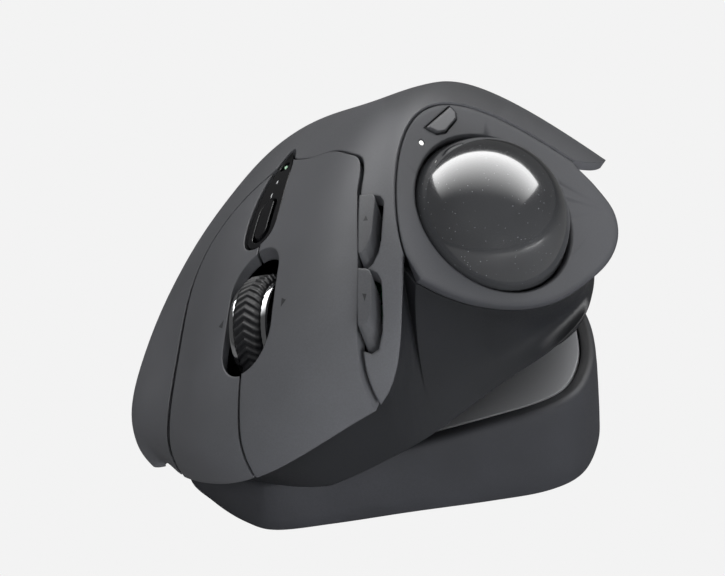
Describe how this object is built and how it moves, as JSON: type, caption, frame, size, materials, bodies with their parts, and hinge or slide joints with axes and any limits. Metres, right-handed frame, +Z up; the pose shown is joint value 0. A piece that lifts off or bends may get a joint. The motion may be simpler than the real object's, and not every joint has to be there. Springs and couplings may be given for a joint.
{
  "type": "trackball mouse",
  "caption": "Right-hand thumb trackball mouse with wheel, side keys and a tilting hinge, on a weighted wedge base with a steel plate.",
  "frame": {"origin": "on the desk, under the flat underside of the base", "axes": "+Z up, +Y towards the fingertips and the scroll wheel, +X towards the little finger, so the ball is on the -X side"},
  "size_m": [0.0952, 0.1278, 0.0773],
  "materials": {
    "graphite_shell": "fine matt texture",
    "key_shell": "matt",
    "panel_shell": "matt",
    "dark_shell": "satin",
    "gloss_black": "polished",
    "switch_case": "as moulded",
    "ball_resin": "polished, pale flecks",
    "tyre_rubber": "moulded tread",
    "wedge_rubber": "soft matt",
    "bright_metal": "polished",
    "satin_steel": "satin",
    "circuit_board": "lacquered",
    "battery_can": "dull",
    "lens_red": "clear red",
    "lamp_white": "lit",
    "lamp_green": "lit"
  },
  "bodies": {
    "base": {"base_block": "wedge_rubber", "base_plate": "satin_steel", "hinge_lug_front": "satin_steel", "hinge_lug_rear": "satin_steel"},
    "mouse_body": {"top_cover": "graphite_shell", "lower_housing": "dark_shell", "ball_panel": "panel_shell", "ball_socket": "dark_shell", "status_strip": "gloss_black", "status_light": "lamp_green", "precision_light": "lamp_white", "cradle_stand": "dark_shell", "cradle_pin": "bright_metal", "hinge_bearing_front": "dark_shell", "hinge_bearing_rear": "dark_shell", "left_switch_post": "dark_shell", "right_switch_post": "dark_shell", "left_switch": "switch_case", "right_switch": "switch_case", "forward_switch": "switch_case", "back_switch": "switch_case", "mode_switch": "switch_case", "precision_switch": "switch_case", "charging_socket": "bright_metal", "bearing_ball_1": "bright_metal", "bearing_ball_2": "bright_metal", "bearing_ball_3": "bright_metal", "flat_magnet": "satin_steel", "raised_magnet": "satin_steel", "case_screw_1": "satin_steel", "case_screw_2": "satin_steel", "case_screw_3": "satin_steel", "case_screw_4": "satin_steel", "main_board": "circuit_board", "sensor_board": "circuit_board", "sensor_lens": "lens_red", "battery": "battery_can"},
    "left_button": {"left_button": "graphite_shell"},
    "right_button": {"right_button": "graphite_shell"},
    "forward_button": {"forward_button": "key_shell"},
    "back_button": {"back_button": "key_shell"},
    "precision_button": {"precision_button": "key_shell"},
    "mode_button": {"mode_button": "gloss_black"},
    "wheel_cradle": {"wheel_cradle": "dark_shell", "wheel_encoder": "switch_case"},
    "scroll_wheel": {"wheel_tyre": "tyre_rubber", "wheel_hub": "bright_metal", "wheel_axle": "bright_metal"},
    "trackball": {"trackball": "ball_resin"},
    "power_switch": {"power_switch": "switch_case"}
  },
  "joints": [
    {"name": "tilt", "type": "hinge", "parent": "base", "child": "mouse_body", "pos_m": [0.0005, 0, 0.01605], "axis": [0, 1, 0], "range_deg": [-20, 0]},
    {"name": "left_click", "type": "hinge", "parent": "mouse_body", "child": "left_button", "pos_m": [0.01376, -0.0095, 0.0657], "axis": [-0.9397, 0, 0.342], "range_deg": [0, 0.7], "stiffness_Nm_per_rad": 1.2, "springref_deg": -0.69},
    {"name": "right_click", "type": "hinge", "parent": "mouse_body", "child": "right_button", "pos_m": [0.03466, -0.0065, 0.04712], "axis": [-0.9397, 0, 0.342], "range_deg": [0, 0.7], "stiffness_Nm_per_rad": 1.2, "springref_deg": -0.69},
    {"name": "forward_press", "type": "slide", "parent": "mouse_body", "child": "forward_button", "axis": [-0.342, 0, -0.9397], "range_m": [0, 0.0005], "stiffness_N_per_m": 900, "springref_m": -0.0004},
    {"name": "back_press", "type": "slide", "parent": "mouse_body", "child": "back_button", "axis": [-0.342, 0, -0.9397], "range_m": [0, 0.0005], "stiffness_N_per_m": 900, "springref_m": -0.0004},
    {"name": "precision_press", "type": "slide", "parent": "mouse_body", "child": "precision_button", "axis": [0.5311, -0.2609, -0.8061], "range_m": [0, 0.0004], "stiffness_N_per_m": 900, "springref_m": -0.0004},
    {"name": "mode_press", "type": "slide", "parent": "mouse_body", "child": "mode_button", "axis": [-0.342, 0, -0.9397], "range_m": [0, 0.0004], "stiffness_N_per_m": 900, "springref_m": -0.0004},
    {"name": "wheel_rock", "type": "hinge", "parent": "mouse_body", "child": "wheel_cradle", "pos_m": [0.01083, 0.0181, 0.022], "axis": [0, 1, 0], "range_deg": [-1.6, 1.6], "stiffness_Nm_per_rad": 0.8},
    {"name": "wheel_spin", "type": "hinge", "parent": "wheel_cradle", "child": "scroll_wheel", "pos_m": [0.01651, 0.0181, 0.0376], "axis": [0.9397, 0, -0.342], "continuous": true},
    {"name": "ball_roll", "type": "hinge", "parent": "mouse_body", "child": "trackball", "pos_m": [-0.0206, -0.002, 0.05845], "axis": [-0.5311, 0.2609, 0.8061], "continuous": true},
    {"name": "power_slide", "type": "slide", "parent": "mouse_body", "child": "power_switch", "axis": [0, 1, 0], "range_m": [-0.0017, 0.0017]}
  ]
}
